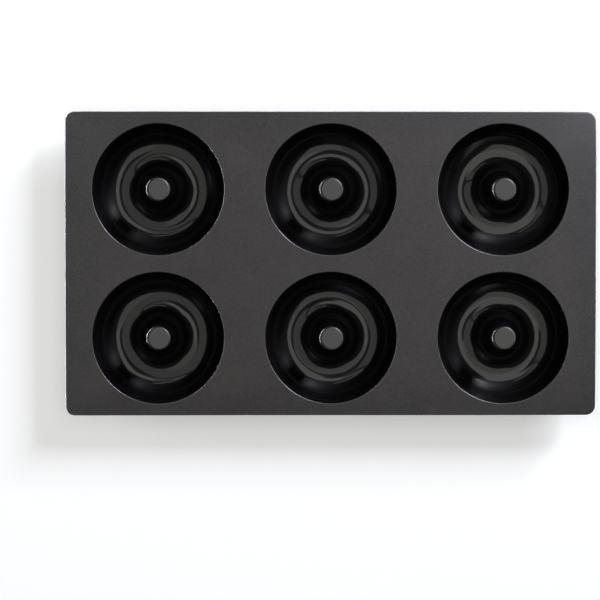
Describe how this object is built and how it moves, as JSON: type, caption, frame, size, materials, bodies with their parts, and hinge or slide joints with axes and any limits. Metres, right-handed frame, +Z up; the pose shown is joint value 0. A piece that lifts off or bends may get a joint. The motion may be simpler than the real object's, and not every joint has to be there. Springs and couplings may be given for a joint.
{
  "type": "donut mould",
  "caption": "Flexible silicone baking mould: a flat rectangular deck with round-bottomed ring cavities hanging below it, each with a hollow post in its centre.",
  "frame": {"origin": "on the surface that the cups stand on, under the centre of the deck", "axes": "+Z up out of the cavities, +X along the length of the deck, +Y across it to the back row"},
  "size_m": [0.3, 0.1714, 0.0281],
  "materials": {
    "matte_silicone": "charcoal silicone with a fine matte grain from the tool",
    "polished_silicone": "the same silicone, black and glossy where the tool was polished"
  },
  "bodies": {
    "root": {"deck": "matte_silicone", "ring_cup_front_left": "polished_silicone", "centre_post_front_left": "polished_silicone", "post_cap_front_left": "matte_silicone", "ring_cup_front_middle": "polished_silicone", "centre_post_front_middle": "polished_silicone", "post_cap_front_middle": "matte_silicone", "ring_cup_front_right": "polished_silicone", "centre_post_front_right": "polished_silicone", "post_cap_front_right": "matte_silicone", "ring_cup_back_left": "polished_silicone", "centre_post_back_left": "polished_silicone", "post_cap_back_left": "matte_silicone", "ring_cup_back_middle": "polished_silicone", "centre_post_back_middle": "polished_silicone", "post_cap_back_middle": "matte_silicone", "ring_cup_back_right": "polished_silicone", "centre_post_back_right": "polished_silicone", "post_cap_back_right": "matte_silicone"}
  },
  "joints": []
}
